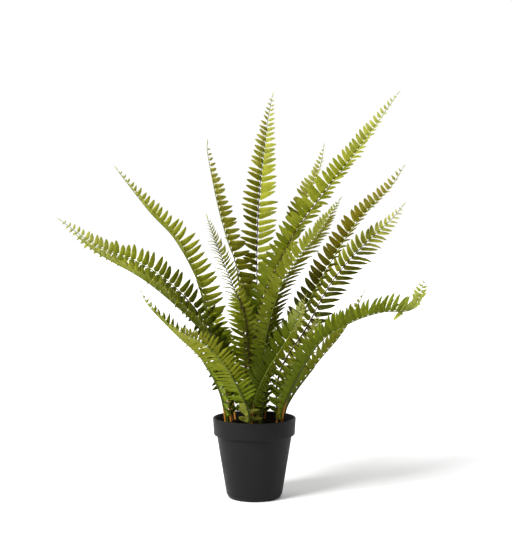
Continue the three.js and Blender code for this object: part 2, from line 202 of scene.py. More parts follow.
# Leaflets: painted plastic, each with its own tone, veins pressed in, paler beneath. The weights say
# how much each leaflet's own tone, its frond's fresh value, patches and the way to the tip lighten it.
# That fresh value is partly the frond's own tone and partly painted light and shade.
# The tints then go over it in their order, each with its strength. The tint masked by deep is painted
# shade: it darkens the leaflets at the foot of the blade.

leafFinish = {
    "deep": seen(54, 62, 4), "middle": seen(98, 106, 8), "fresh": seen(157, 160, 50),
    "vivid": seen(108, 128, 2), "green": seen(84, 108, 12), "bronze": seen(98, 74, 3),
    "brown": seen(44, 28, 8), "pale": seen(120, 128, 36), "paintedShade": seen(28, 30, 1), "soft": seen(162, 161, 98),
    "toneWeight": 0.4, "freshWeight": 0.8, "patchWeight": 0.2, "shareWeight": 0.2, "levelDrop": 0.27,
    "patches": (60.0, 0.22), "blotches": (16.0, 0.15), "bronzeLeast": 0.55,
    "greenFoot": (0.05, 0.65, 1.0, 0.0), "softTip": (0.7, 1.0), "footLength": 0.12, "footShade": 0.75,
    "tints": {
        "green": 0.85, "soft": 0.6, "vivid": 0.7, "bronze": 1.0, "pale": 0.35, "paintedShade": 0.9, "fresh": 0.1},
    "veinCount": 11, "veinSlant": 2.6, "midVein": -1.2, "veinWidth": 0.07, "flatTip": (0.6, 0.95, 1.0, 0.2),
    "bump": (0.2, 0.0005), "smooth": 0.53, "rough": 0.67, "specular": 0.04,
    "glow": 0.35, "glowDepth": 0.0016, "glowColour": (1.0, 1.0, 0.3),
}


def makeLeafMaterial():
    finish = leafFinish
    material, tree, shader = newMaterial("leafPlastic", {
        "Specular IOR Level": finish["specular"], "Subsurface Weight": finish["glow"],
        "Subsurface Scale": finish["glowDepth"], "Subsurface Radius": finish["glowColour"]})
    uv = outputOf(tree, "ShaderNodeUVMap", output="UV", uv_map="leafMap")
    parts = addNode(tree, "ShaderNodeSeparateXYZ", {"Vector": uv})
    along, across = parts.outputs["X"], parts.outputs["Y"]
    tone, share, fresh, vivid, bronze, deep, brown, underside = (attributeValue(tree, name) for name in (
        "tone", "share", "fresh", "vivid", "bronze", "deep", "brown", "underside"))
    patches, blotches = mottled(tree, *finish["patches"]), mottled(tree, *finish["blotches"])
    fromVein = calc(tree, "ABSOLUTE", calc(tree, "SUBTRACT", across, 0.5))
    vein = spread(tree, fromVein, 0.0, finish["veinWidth"], 1.0, 0.0)
    # The frond's fresh value is partly its own tone and partly painted light and shade
    level = calc(tree, "MULTIPLY", fresh, finish["freshWeight"])
    for value, weight in ((tone, "toneWeight"), (patches, "patchWeight"), (share, "shareWeight")):
        level = calc(tree, "MULTIPLY_ADD", value, finish[weight], level)
    ramp = addNode(tree, "ShaderNodeValToRGB", {"Fac": calc(tree, "SUBTRACT", level, finish["levelDrop"])})
    ramp.color_ramp.elements[0].color = finish["deep"]
    ramp.color_ramp.elements[1].color = finish["fresh"]
    ramp.color_ramp.elements.new(0.5).color = finish["middle"]
    colour = ramp.outputs["Color"]
    masks = {
        "green": spread(tree, share, *finish["greenFoot"]), "soft": spread(tree, share, *finish["softTip"]),
        "bronze": calc(tree, "MULTIPLY", bronze, spread(tree, blotches, 0, 1, finish["bronzeLeast"], 1)),
        "vivid": vivid, "pale": underside, "paintedShade": deep, "fresh": vein,
    }
    # The tint masked by deep is painted shade, darkening the leaflets at the blade's foot
    for name, strength in finish["tints"].items():
        colour = mixColours(tree, calc(tree, "MULTIPLY", masks[name], strength), colour, finish[name])
    foot = spread(tree, along, 0.0, finish["footLength"], finish["footShade"], 0.0)
    colour = mixColours(tree, foot, colour, mixColours(tree, brown, finish["deep"], finish["brown"]))
    feed(tree, shader.inputs["Roughness"], spread(tree, patches, 0, 1, finish["smooth"], finish["rough"]))
    phase = calc(tree, "MULTIPLY_ADD", fromVein, -finish["veinSlant"],
                 calc(tree, "MULTIPLY", along, finish["veinCount"]))
    height = calc(tree, "MULTIPLY_ADD", vein, finish["midVein"], calc(tree, "PINGPONG", phase, 0.5))
    height = calc(tree, "MULTIPLY", height, spread(tree, share, *finish["flatTip"]))
    paintShader(tree, shader, colour, height, finish["bump"])
    return material


# Ribs and stalks: painted stem, green or brown

stemFinish = {
    "green": seen(112, 124, 38), "shade": seen(62, 72, 8), "brown": seen(62, 38, 16),
    "wood": seen(172, 116, 36), "bark": seen(120, 64, 14), "wear": 0.5, "roughness": 0.55,
    "rib": {"specular": 0.15, "patches": (90.0, 0.25), "uneven": 0.2, "grain": 700.0, "bump": (0.3, 0.0003)},
    "stalk": {"specular": 0.2, "patches": (55.0, 0.2), "uneven": 0.3, "grain": 500.0, "bump": (0.5, 0.0006)},
}


def makeStemMaterial(name, finish, isStalk):
    material, tree, shader = newMaterial(name, {
        "Roughness": stemFinish["roughness"], "Specular IOR Level": finish["specular"]})
    patches = mottled(tree, *finish["patches"])
    colour = stemFinish["shade"]
    if not isStalk:
        colour = mixColours(tree, attributeValue(tree, "shade"), stemFinish["green"], stemFinish["shade"])
    share = calc(tree, "SUBTRACT", attributeValue(tree, "brown"), finish["uneven"] / 2)
    share = calc(tree, "MULTIPLY_ADD", patches, finish["uneven"], share)
    colour = mixColours(tree, calc(tree, "MAXIMUM", share, 0.0, clamp=True), colour, stemFinish["brown"])
    if isStalk:
        wear = calc(tree, "MULTIPLY", patches, stemFinish["wear"])
        worn = mixColours(tree, wear, stemFinish["wood"], stemFinish["bark"])
        colour = mixColours(tree, attributeValue(tree, "wood"), colour, worn)
    paintShader(tree, shader, colour, grained(tree, finish["grain"]), finish["bump"])
    return material


# Pot: satin charcoal plastic with a fine grain and faint turned streaks

potFinish = {
    "body": seen(24, 24, 25), "dusty": seen(33, 33, 35), "specular": 0.1, "smooth": 0.45, "rough": 0.58,
    "patches": (22.0, 0.25), "dust": 0.4, "streaks": 420.0, "streakDepth": 0.5, "streakLength": 0.05,
    "grain": (1400.0, 0.6), "bump": (0.35, 0.0003),
}


def makePotMaterial():
    finish = potFinish
    material, tree, shader = newMaterial("potPlastic", {"Specular IOR Level": finish["specular"]})
    patches = mottled(tree, *finish["patches"])
    dust = calc(tree, "MULTIPLY", patches, finish["dust"])
    colour = mixColours(tree, dust, finish["body"], finish["dusty"])
    feed(tree, shader.inputs["Roughness"], spread(tree, patches, 0, 1, finish["smooth"], finish["rough"]))
    place = outputOf(tree, "ShaderNodeTexCoord", output="Object")
    parts = addNode(tree, "ShaderNodeSeparateXYZ", {"Vector": place})
    flat = {axis: calc(tree, "MULTIPLY", parts.outputs[axis], finish["streakLength"]) for axis in "XY"}
    flat["Z"] = parts.outputs["Z"]
    flat = outputOf(tree, "ShaderNodeCombineXYZ", flat)
    streaks = outputOf(tree, "ShaderNodeTexNoise", {
        "Vector": flat, "Scale": finish["streaks"], "Detail": 2.0}, "Fac")
    height = calc(tree, "MULTIPLY_ADD", streaks, finish["streakDepth"], grained(tree, *finish["grain"]))
    paintShader(tree, shader, colour, height, finish["bump"])
    return material


soilFinish = {
    "dark": seen(13, 11, 6), "light": seen(46, 38, 22), "lightShare": 0.45, "roughness": 1.0, "specular": 0.0,
    "patches": (180.0, 0.2), "grain": 1100.0, "bump": (0.8, 0.0008),
}


def makeSoilMaterial():
    finish = soilFinish
    material, tree, shader = newMaterial("soilCrumb", {
        "Roughness": finish["roughness"], "Specular IOR Level": finish["specular"]})
    uneven = calc(tree, "ADD", mottled(tree, *finish["patches"]), attributeValue(tree, "tone"))
    share = calc(tree, "MULTIPLY", uneven, finish["lightShare"], clamp=True)
    colour = mixColours(tree, share, finish["dark"], finish["light"])
    paintShader(tree, shader, colour, grained(tree, finish["grain"]), finish["bump"])
    return material


leafPlastic = makeLeafMaterial()
ribPaint = makeStemMaterial("ribPaint", stemFinish["rib"], False)
stalkPaint = makeStemMaterial("stalkPaint", stemFinish["stalk"], True)
potPlastic = makePotMaterial()
soilCrumb = makeSoilMaterial()
print("materials made")


# Turned pieces. A profile is a list of (radius, height, rounding) in millimetres, from axis to axis.

def roundedProfile(corners, steps=5):
    points = []
    for i, (radius, height, rounding) in enumerate(corners):
        corner = Vector((radius, height))
        if not rounding:
            points.append(corner)
            continue
        back = (Vector(corners[i - 1][:2]) - corner).normalized()
        ahead = (Vector(corners[i + 1][:2]) - corner).normalized()
        half = back.angle(ahead) / 2
        centre = corner + (back + ahead).normalized() * rounding / math.sin(half)
        reach = rounding / math.tan(half)
        start = corner + back * reach - centre
        end = corner + ahead * reach - centre
        turn = start.angle_signed(end)
        for step in range(steps + 1):
            points.append(centre + Matrix.Rotation(-turn * step / steps, 2) @ start)
    return points


# Rings of points, or a single one on the axis, and the faces between them
def turnedShape(profile, sides):
    points = []
    rings = []
    for radius, height in profile:
        count = sides if radius > 1e-6 else 1
        rings.append(list(range(len(points), len(points) + count)))
        for i in range(count):
            angle = 2 * math.pi * i / sides
            points.append(Vector((radius * math.cos(angle), radius * math.sin(angle), height)))
    faces = []
    for low, high in zip(rings, rings[1:]):
        for i in range(sides):
            j = (i + 1) % sides
            corners = [low[i % len(low)], low[j % len(low)], high[j % len(high)], high[i % len(high)]]
            faces.append(list(dict.fromkeys(corners)))
    return points, faces


def turnedPiece(name, profile, sides, material):
    points, faces = turnedShape(profile, sides)
    return meshObject(name, [point * mm for point in points], faces, material)


potSet = {
    "height": 118, "rim": 61.5, "collar": 25, "collarFoot": 60, "bodyTop": 55.8, "bodyFoot": 41.4,
    "base": 36.5, "foot": 5.5, "wall": 2.6, "floor": 3, "sides": 144,
}


# Radius of the wall inside at a height, from the floor up to the lip
def innerRadius(height):
    size = potSet
    bend = size["height"] - size["collar"] - size["wall"]
    slope = (size["bodyTop"] - size["bodyFoot"]) / (size["height"] - size["collar"] - size["foot"])
    radius = size["bodyFoot"] + slope * (min(height, bend) - size["foot"]) - size["wall"]
    if height > bend:
        lip = size["height"] - size["wall"] / 2
        radius += (size["rim"] - size["wall"] - radius) * (height - bend) / (lip - bend)
    return radius


def makePot():
    size = potSet
    under = size["height"] - size["collar"]
    bend = under - size["wall"]
    floor = size["floor"]
    profile = roundedProfile([
        (0, 0, 0), (size["base"] - 6, 0, 0), (size["base"] + 1.6, 0, 1.6),
        (size["bodyFoot"], size["foot"], 1.8), (size["bodyTop"], under, 0.7),
        (size["collarFoot"], under + 0.1, 0.9),
        (size["rim"], size["height"], 1.1), (size["rim"] - size["wall"], size["height"], 1.1),
        (innerRadius(bend), bend, 1.5), (innerRadius(floor), floor, 2), (0, floor, 0),
    ])
    return turnedPiece("potShell", profile, size["sides"], potPlastic)


pot = makePot()
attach(pot, "root")
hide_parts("pot")
print("pot made:", len(pot.data.polygons), "faces")


# Fronds, with lengths in millimetres, angles in degrees and shares from the blade's foot (0) to its
# tip (1). Right and left are seen with the frond's upper side in front and its tip up.
# faces: the way its upper side faces. path: its midrib's points, from under the soil to the tip.
# right and left, for the leaflets of each hand: their fold upwards at the blade's foot and at its tip,
# their tilt about their own length at both, and their lean towards the tip.
# fresh, bronze and deep, right and left: how light they are, which is partly their own tone and partly
# painted light and shade; how brown; and how dark at the foot, which is painted shade.
# vivid: how strong a green. dark: share of the rib that is brown. stalk: share of the frond that its
# stalk backs. wood and stem: how far up that is bare wood, and how brown it is above.
# pitch, leafWidth, longest and lengths: the leaflets' distance, width and length, and each hand's share
# of it. taperFrom and taperPower: how far from the tip they shorten, and how late. gather: how much
# closer they stand there. bareBelow: where they start. rise: their length at the foot, and its growth.
# turn: how late the fold changes. curlFrom: where the blade curls up and they are short.
# single: leaflets of their own, each with share, hand, fold, sweep, length and width.

frondDefaults = {
    "bronze": (0, 0), "deep": (0.3, 0.3), "vivid": 0, "dark": 0, "stalk": 0.5, "wood": 0, "stem": 0,
    "pitch": 9.8, "leafWidth": 10, "lengths": (1, 1), "taperFrom": 0.34, "taperPower": 0.8, "gather": 0.2,
    "bareBelow": 0, "rise": (0.62, 2.2), "turn": 1, "curlFrom": 2, "single": (),
}

frondTable = [
    {"name": "frond_left_long", "longest": 30, "faces": (0.35, -0.6, 0.75),
     "right": (-5, 35, 0, 0, 0), "left": (10, 0, -10, -10, -30),
     "fresh": (0.55, 0.45), "deep": (0.9, 0.9), "dark": 0.5, "wood": 88, "stem": 0.3,
     "leafWidth": 8.8, "bareBelow": 0.1,
     "path": [(-33, 8, 70), (-36, 8, 120), (-48, 8, 187), (-74, 12, 254), (-114, 20, 304), (-169, 28, 343),
         (-237, 38, 370), (-302, 45, 415)]},
    {"name": "frond_left_front", "longest": 29, "faces": (0.4, -0.45, 0.8),
     "right": (10, 10, 0, 0, 0), "left": (50, 52, 0, 0, 5),
     "fresh": (0.62, 0.62), "deep": (0.6, 0.5), "vivid": 0.1,
     "path": [(-37, -6, 70), (-40, -8, 119), (-52, -20, 190), (-73, -35, 243), (-109, -52, 282),
         (-158, -68, 324), (-216, -85, 359), (-253, -95, 390)]},
    {"name": "frond_left_high", "longest": 31, "stalk": 0.55, "faces": (0.65, -0.6, 0.5),
     "right": (70, 15, 10, 10, -10), "left": (18, 72, -20, 0, 6),
     "fresh": (1.08, 0.85), "bronze": (0.08, 0.1), "deep": (0, 0.5), "vivid": 0.25, "wood": 82, "stem": 0.2,
     "leafWidth": 9.6, "lengths": (1, 0.8), "bareBelow": 0.1,
     "path": [(-31, 21, 70), (-35, 22, 118), (-58, 22, 216), (-75, 18, 283), (-88, 15, 324), (-119, 12, 381),
         (-158, 8, 424), (-209, 0, 491)]},
    {"name": "frond_back_left_tall", "longest": 33, "stalk": 0.55, "faces": (0.72, -0.68, 0.1),
     "right": (10, 0, 10, 10, -18), "left": (50, 50, 0, 0, 20),
     "fresh": (1.15, 0.9), "bronze": (0.45, 0.35), "deep": (0.3, 0.4), "dark": 0.6, "wood": 60, "stem": 1,
     "leafWidth": 9.8, "lengths": (1.06, 0.4),
     "path": [(-10, 26, 70), (-11, 28, 118), (-17, 40, 244), (-27, 45, 334), (-42, 48, 380), (-57, 50, 435),
         (-72, 50, 513), (-70, 48, 535)]},
    {"name": "frond_inner_short", "longest": 24, "stalk": 0.6, "faces": (0.25, -0.95, 0.2),
     "right": (-40, -40, 25, 25, 5), "left": (40, 45, -50, -55, 15),
     "fresh": (0.8, 0.6), "deep": (0, 0.3), "dark": 0.6, "stem": 1,
     "pitch": 6.4, "leafWidth": 6.2, "lengths": (1.4, 1.1), "taperFrom": 0.26, "gather": 0.25,
     "path": [(-3, -4, 70), (-4, -5, 120), (-12, -5, 257), (-29, 0, 305), (-49, 5, 355), (-72, 10, 418)]},
    {"name": "frond_centre_tall", "longest": 31, "stalk": 0.62, "faces": (0.12, -1, 0.25),
     "right": (45, 12, 0, 0, 0), "left": (40, 32, 0, 0, -8),
     "fresh": (0.82, 0.86), "bronze": (0, 0.4), "deep": (0.3, 0.6), "dark": 0.72, "wood": 60, "stem": 1,
     "pitch": 10.6, "leafWidth": 9, "gather": 0.3,
     "path": [(4, 12, 70), (5, 15, 120), (4, 42, 205), (4, 60, 282), (4, 85, 380), (8, 100, 459),
         (19, 115, 556), (30, 120, 619)]},
    {"name": "frond_right_tall", "longest": 33, "faces": (-0.55, -0.65, 0.5),
     "right": (14, 30, 0, 0, -5), "left": (0, 38, 5, 0, 4),
     "fresh": (0.6, 0.65), "bronze": (0.1, 0.1), "deep": (0.6, 0.5), "vivid": 0.15, "dark": 0.7, "wood": 78,
     "stem": 1,
     "leafWidth": 11, "lengths": (0.85, 1),
     "path": [(-12, 8, 70), (-13, 10, 119), (-2, 22, 222), (14, 32, 290), (59, 55, 383), (112, 75, 457),
         (161, 90, 519), (208, 100, 585), (233, 105, 619)]},
    {"name": "frond_back_right_tall", "longest": 29, "stalk": 0.55, "faces": (-0.7, -0.5, 0.35),
     "right": (20, 30, -12, 0, 0), "left": (15, 35, 0, 0, 6),
     "fresh": (0.22, 0.22), "bronze": (0.2, 0.25), "dark": 0.6, "wood": 72, "stem": 1,
     "pitch": 8.8, "leafWidth": 9, "taperFrom": 0.26,
     "path": [(14, 28, 70), (16, 30, 119), (33, 75, 288), (64, 105, 388), (88, 125, 457), (105, 135, 496),
         (114, 140, 539)]},
    {"name": "frond_inner_right", "longest": 28, "faces": (-0.3, 0.85, 0.4),
     "right": (-12, 4, -15, -20, 12), "left": (8, 22, -10, -10, 25),
     "fresh": (0.9, 0.45), "bronze": (0, 0.6), "deep": (0.3, 0.9), "vivid": 0.1,
     "pitch": 7.6, "leafWidth": 6.4, "taperFrom": 0.26, "gather": 0.25,
     "path": [(10, -8, 70), (11, -10, 123), (14, -28, 220), (34, -45, 302), (59, -55, 349), (91, -65, 389),
         (124, -75, 442)]},
    {"name": "frond_front_right", "longest": 24, "faces": (-0.4, -0.75, 0.5),
     "right": (20, 20, 0, 0, 5), "left": (12, 20, 0, 0, 5),
     "fresh": (-0.5, -0.4), "bronze": (0.25, 0), "deep": (0.9, 0.8), "vivid": 0.3, "wood": 88,
     "pitch": 5.2, "leafWidth": 4.8, "lengths": (1, 1.2), "bareBelow": 0.12,
     "path": [(-3, -29, 70), (-3, -33, 121), (2, -42, 152), (19, -60, 193), (34, -74, 219), (51, -90, 248),
         (61, -99, 268), (71, -108, 303)]},
    {"name": "frond_right_sweeping", "longest": 26, "faces": (-0.55, -0.5, 0.65),
     "right": (16, 24, -10, 0, 0), "left": (30, 42, -5, 0, 4),
     "fresh": (0.28, 0.32), "bronze": (0.62, 0.62), "deep": (1, 1), "stem": 0.2,
     "pitch": 10.6, "lengths": (0.65, 1), "taperFrom": 0.3, "taperPower": 0.55,
     "path": [(7, -21, 70), (9, -23, 122), (20, -32, 174), (43, -38, 225), (67, -38, 268), (110, -25, 344),
         (153, 0, 407), (203, 25, 457), (230, 40, 497)]},
    {"name": "frond_right_slender", "longest": 27, "faces": (-0.4, -0.8, 0.45),
     "right": (-24, -10, 0, -50, 20), "left": (4, -4, 5, 0, 4),
     "fresh": (0.58, 0.58), "bronze": (0.15, 0.15), "deep": (1, 0.8), "dark": 0.75, "wood": 88, "stem": 1,
     "pitch": 10.2, "leafWidth": 8.6, "lengths": (1.1, 1), "taperFrom": 0.26, "gather": 0.3,
     "path": [(33, 14, 70), (34, 15, 120), (34, 18, 163), (47, 20, 201), (77, 22, 246), (115, 20, 315),
         (159, 15, 368), (202, 8, 409), (225, 0, 436)]},
    {"name": "frond_right_drooping", "longest": 33, "faces": (-0.25, -0.45, 0.9),
     "right": (78, -20, 15, 15, 4), "left": (22, 22, 10, 0, 2),
     "fresh": (0.18, 0.18), "vivid": 0.35, "wood": 76,
     "pitch": 7.8, "leafWidth": 9.8, "taperFrom": 0.2, "gather": 0.12, "rise": (0.45, 1), "turn": 6,
     "curlFrom": 0.86,
     "single": [(0.81, 1, -48, -55, 18, 6.5)],
     "path": [(36, -25, 70), (40, -28, 117), (46, -35, 144), (67, -50, 191), (93, -65, 234), (137, -75, 263),
         (179, -85, 278), (217, -90, 281), (231, -92, 298), (238, -92, 335)]},
    {"name": "frond_right_short", "longest": 24, "faces": (-0.65, -0.5, 0.55),
     "right": (76, 80, -20, -20, 0), "left": (30, -5, 15, 15, 8),
     "fresh": (0.6, 0.6), "bronze": (0.3, 0.4), "deep": (0.35, 0.35), "stem": 0.3,
     "path": [(40, -4, 70), (44, -5, 120), (58, -5, 152), (98, 0, 203), (129, 5, 239), (151, 8, 276),
         (165, 10, 305)]},
    {"name": "frond_right_low", "longest": 20, "faces": (-0.35, -0.8, 0.4),
     "right": (15, 15, 0, 0, 5), "left": (15, 15, 0, 0, 5),
     "fresh": (0.9, 0.9), "wood": 92,
     "pitch": 5.2, "leafWidth": 4.6, "bareBelow": 0.12,
     "path": [(31, -34, 70), (33, -37, 120), (39, -37, 155), (56, -34, 191), (69, -31, 212), (81, -28, 231),
         (90, -26, 251), (96, -25, 276)]},
    {"name": "frond_left_low", "longest": 28, "faces": (0.55, -0.5, 0.65),
     "right": (-4, 8, 15, 15, -8), "left": (50, 55, -10, 0, 5),
     "fresh": (0.7, 0.7), "deep": (0.2, 0.2), "vivid": 0.3, "wood": 64,
     "leafWidth": 10.6,
     "path": [(-40, -16, 70), (-43, -18, 119), (-52, -25, 162), (-78, -40, 209), (-118, -55, 250),
         (-151, -65, 287), (-162, -70, 309)]},
    {"name": "frond_front_low", "longest": 27, "faces": (-0.3, 0.75, 0.55),
     "right": (55, 12, 0, 0, -8), "left": (-30, 10, -20, -20, 20),
     "fresh": (0.66, 0.66), "bronze": (0.25, 0.45), "deep": (0, 0), "vivid": 0.3,
     "pitch": 6.8, "leafWidth": 6, "bareBelow": 0.14,
     "single": [(0, -1, 0, -8, 18, 9), (0.05, -1, 0, 2, 15, 8.5), (0, 1, 0, 20, 18, 8),
                (0.035, 1, 0, 33, 17, 9), (0.085, 1, 0, 30, 13, 8), (0.12, 1, 0, 22, 12, 7)],
     "path": [(-7, -38, 70), (-7, -42, 123), (-15, -60, 153), (-36, -95, 198), (-64, -130, 235),
         (-91, -155, 254), (-108, -175, 267)]},
    {"name": "frond_back_low", "longest": 27, "stalk": 0.55, "faces": (0.05, -0.5, 0.8),
     "right": (22, 22, 0, 0, 0), "left": (22, 22, 0, 0, 0),
     "fresh": (0.4, 0.4), "dark": 0.3, "wood": 60, "stem": 0.8,
     "path": [(-6, 40, 70), (-6, 44, 118), (-12, 78, 186), (-18, 125, 248), (-24, 175, 286),
         (-28, 222, 300)]},
    {"name": "frond_back_left_low", "longest": 26, "stalk": 0.55, "faces": (0.35, -0.4, 0.8),
     "right": (22, 22, 0, 0, 0), "left": (22, 22, 0, 0, 0),
     "fresh": (0.4, 0.4), "dark": 0.3, "wood": 78, "stem": 0.6,
     "path": [(-27, 33, 70), (-30, 36, 118), (-42, 62, 176), (-58, 100, 228), (-74, 140, 264),
         (-88, 178, 282)]},
]
fronds = [dict(frondDefaults, **row) for row in frondTable]

frondSet = {
    "bladeStart": 50, "ribShare": 0.971, "curveSteps": 40,
    "firstLeaflet": 0.35, "leftLag": 0.2, "fullness": 0.96, "slimmest": 0.44,
    "stalkFoot": 1.9, "stalkEnd": 0.7, "stalkStep": 6, "stalkSides": 10, "woodFade": (0.85, 1.1),
    "ribFoot": 0.95, "ribTip": 0.45, "ribTaper": 1.6, "ribSeat": 0.8, "ribStep": 4, "ribSides": 8,
    "darkFade": (0.12, -0.06), "shadeFade": (0.05, 0.6), "rootDepth": 0.5, "tipDepth": 0.5,
    "endShare": 0.02, "endLength": 1.2, "endSteps": (0.6, 0.2, 0), "thickKept": 0.4,
    # deepFade: where the painted shade at the blade's foot fades out
    "bronzeRise": (0.12, 0.42), "deepFade": (0.4, 0.9), "tipShare": 0.12, "curlShare": 0.48,
    "curlTaper": 0.08, "curlPower": 0.8, "curlEase": 0.05,
    "sweepFoot": 5, "sweepTip": 18, "tipLength": 11.5, "tipWidth": 2.6,
    "sizeSpread": (0.94, 1.04), "foldSpread": (-4, 4), "sweepSpread": (-3, 3),
    # The last two here are painted light on the single leaflets: more lightness, and the colouring of a share
    # near the tip
    "jitter": 5, "seed": 7, "singlePaintedLight": 0.75, "singlePaintedLightShare": 0.88,
}


def blend(low, high, share):
    return low + (high - low) * share


def smoothShare(value, low, high):
    share = min(max((value - low) / (high - low), 0), 1)
    return share * share * (3 - 2 * share)


# Where a midrib runs: a smooth curve through its points, measured along its length
def frondRun(frond):
    size = frondSet
    points = [Vector(point) for point in frond["path"]]
    points = [points[0] * 2 - points[1]] + points + [points[-1] * 2 - points[-2]]
    places = []
    for i in range(1, len(points) - 2):
        a, b, c, d = points[i - 1:i + 3]
        for step in range(size["curveSteps"]):
            t = step / size["curveSteps"]
            places.append(0.5 * (2 * b + (c - a) * t + (2 * a - 5 * b + 4 * c - d) * t * t
                                 + (3 * b - a - 3 * c + d) * t ** 3))
    places.append(points[-2])
    reached = [0.0]
    for here, there in zip(places, places[1:]):
        reached.append(reached[-1] + (there - here).length)
    faces = Vector(frond["faces"])

    def at(distance):
        distance = min(max(distance, 0), reached[-1] - 1e-6)
        low = bisect.bisect_right(reached, distance) - 1
        high = low + 1
        part = (distance - reached[low]) / (reached[high] - reached[low])
        point = places[low].lerp(places[high], part)
        before = places[max(low - 2, 0)]
        after = places[min(high + 2, len(places) - 1)]
        along = (after - before).normalized()
        up = (faces - along * faces.dot(along)).normalized()
        return {"point": point, "along": along, "up": up, "side": along.cross(up)}

    return {"at": at, "stalk": reached[-1] * frond["stalk"],
            "blade": (reached[-1] - size["bladeStart"]) * size["ribShare"]}


def stalkRadius(run, distance):
    return blend(frondSet["stalkFoot"], frondSet["stalkEnd"], min(distance / run["stalk"], 1))


def ribRadius(share):
    return blend(frondSet["ribFoot"], frondSet["ribTip"], share ** frondSet["ribTaper"])


# Middle of the rib, which lies on its stalk and runs on alone past the stalk's end
def ribPoint(run, distance, share):
    place = run["at"](distance)
    place["point"] = place["point"] + place["up"] * (
        stalkRadius(run, distance) + ribRadius(share) * frondSet["ribSeat"])
    return place


# Share of its full length that a leaflet has, from the foot of the blade (0) to its tip (1)
def lengthShare(frond, share):
    size = frondSet
    fromTip = (1 - share) / frond["taperFrom"]
    towardsTip = min(1, blend(size["tipShare"], 1, fromTip ** frond["taperPower"]))
    curled = size["curlShare"] * min(1, ((1 - share) / size["curlTaper"]) ** size["curlPower"])
    curl = smoothShare(share, frond["curlFrom"] - size["curlEase"], frond["curlFrom"])
    atFoot, growth = frond["rise"]
    return blend(towardsTip, curled, curl) * min(1, atFoot + growth * share)


# One leaflet's place, direction and size, from the share of the blade where it grows
def leafletSite(frond, run, share, hand, widest, rng):
    size = frondSet
    place = ribPoint(run, size["bladeStart"] + run["blade"] * share, share)
    which = 0 if hand > 0 else 1
    length = frond["longest"] * lengthShare(frond, share) * rng.uniform(*size["sizeSpread"])
    length *= frond["lengths"][which]
    foldFoot, foldTip, tiltFoot, tiltTip, lean = frond["left" if which else "right"]
    fold = blend(foldFoot, foldTip, share ** frond["turn"])
    sweep = blend(size["sweepFoot"], size["sweepTip"], share * share) + lean
    return {
        "share": share, "hand": hand, "along": place["along"], "up": place["up"], "side": place["side"],
        "root": place["point"] + place["side"] * hand * ribRadius(share) * size["rootDepth"],
        "length": length, "width": min(widest * rng.uniform(*size["sizeSpread"]), length * size["slimmest"]),
        "fold": math.radians(fold + rng.uniform(*size["foldSpread"])),
        "tilt": math.radians(blend(tiltFoot, tiltTip, share) + rng.uniform(*size["foldSpread"])),
        "look": rng.randrange(len(leafBends)),
        "sweep": math.radians(sweep + rng.uniform(*size["sweepSpread"])),
        "bronze": frond["bronze"][which] * smoothShare(share, *size["bronzeRise"]),
        # Painted shade at the blade's foot, fading out towards the tip
        "deep": frond["deep"][which] * (1 - smoothShare(share, *size["deepFade"])),
        # fresh: the hand's lightness, partly its own tone and partly painted light and shade
        "fresh": frond["fresh"][which], "vivid": frond["vivid"], "brown": float(share < frond["dark"]),
    }


def aimLeaflet(site):
    outward = site["side"] * site["hand"] * math.cos(site["fold"]) + site["up"] * math.sin(site["fold"])
    site["reach"] = (outward * math.cos(site["sweep"]) + site["along"] * math.sin(site["sweep"])).normalized()
    flat = (site["along"].cross(outward) * -site["hand"]).normalized()
    site["face"] = Quaternion(site["reach"], site["tilt"] * site["hand"]) @ flat


# Leaflets keep clear of what stands there already: folded by some degrees more or less, then shorter
clearSet = {
    "folds": (0, 8, -8, 16, -16, 26, -26, 36), "steepest": 84, "lengths": (1, 0.86, 0.72, 0.58, 0.44),
    "lifts": (-0.9, 0, 0.9), "lengthMargin": 1.03, "stalkStep": 12, "ribPoints": 40,
    "rimMargin": 1, "soilEdge": 107, "soilCrown": 112, "sides": 40,
    "outline": ((0.1, -0.9), (0.55, -0.85), (1, -0.1), (1, 0.1), (0.55, 0.85), (0.1, 0.9)),
}


# The flat outline that stands for a leaflet when it is tested for crossings
def leafletPlate(site, lift=0.0, lengthMargin=1.0):
    across = site["face"].cross(site["reach"])
    length = site["length"] * lengthMargin
    half = site["width"] / 2
    root = site["root"] + site["face"] * lift
    return [root + site["reach"] * length * x + across * half * y for x, y in clearSet["outline"]]


def plateTree(plates):
    points = [point for plate in plates for point in plate]
    corners = len(clearSet["outline"])
    faces = [tuple(range(start, start + corners)) for start in range(0, len(points), corners)]
    return BVHTree.FromPolygons(points, faces)


# Folds a leaflet out of the way, or shortens it, and says if that worked
def fitLeaflet(site, obstacles):
    fold, length = site["fold"], site["length"]
    for share in clearSet["lengths"]:
        for extra in clearSet["folds"]:
            site["length"] = length * share
            site["fold"] = min(fold + math.radians(extra), max(fold, math.radians(clearSet["steepest"])))
            aimLeaflet(site)
            plates = [leafletPlate(site, lift, clearSet["lengthMargin"]) for lift in clearSet["lifts"]]
            if not any(plateTree(plates).overlap(other) for other in obstacles):
                return True
    return False


